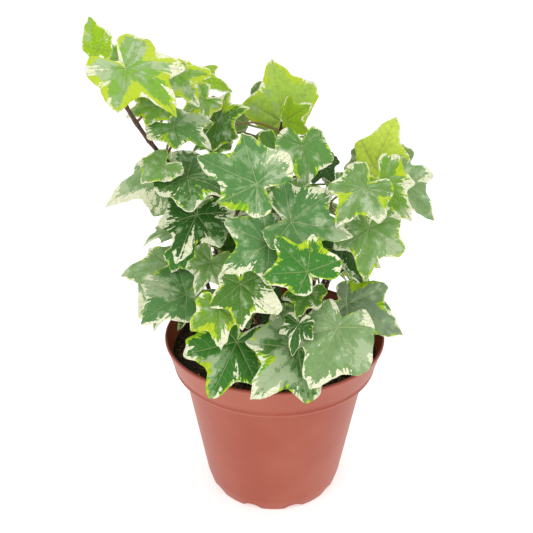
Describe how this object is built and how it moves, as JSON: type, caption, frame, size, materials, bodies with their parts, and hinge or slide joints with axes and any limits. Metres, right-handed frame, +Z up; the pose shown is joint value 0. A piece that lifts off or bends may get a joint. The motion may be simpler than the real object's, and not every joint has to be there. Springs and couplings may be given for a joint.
{
  "type": "potted english ivy",
  "caption": "Small variegated ivy with lobed, cream-edged leaves on rooted stems, growing in a round notched nursery pot of potting soil.",
  "frame": {"origin": "middle of the pot's underside, on the surface the pot stands on", "axes": "+Z up along the pot's axis, -Y towards the plant's fullest side, +X to the right of someone facing it"},
  "size_m": [0.1624, 0.1526, 0.2611],
  "materials": {
    "pot_plastic": "satin",
    "potting_soil": "matte",
    "ivy_leaf": "satin",
    "ivy_stem": "matte",
    "perlite": "matte"
  },
  "bodies": {
    "root": {"pot": "pot_plastic", "soil": "potting_soil", "stem_tall_left": "ivy_leaf", "stem_centre": "ivy_leaf", "stem_right": "ivy_leaf", "stem_front_right": "ivy_leaf", "stem_front_left": "ivy_leaf", "stem_front_centre": "ivy_leaf", "stem_low_front": "ivy_leaf", "stem_low_right": "ivy_leaf", "stem_back_left": "ivy_leaf", "stem_back_right": "ivy_leaf", "stem_back": "ivy_leaf"}
  },
  "joints": []
}
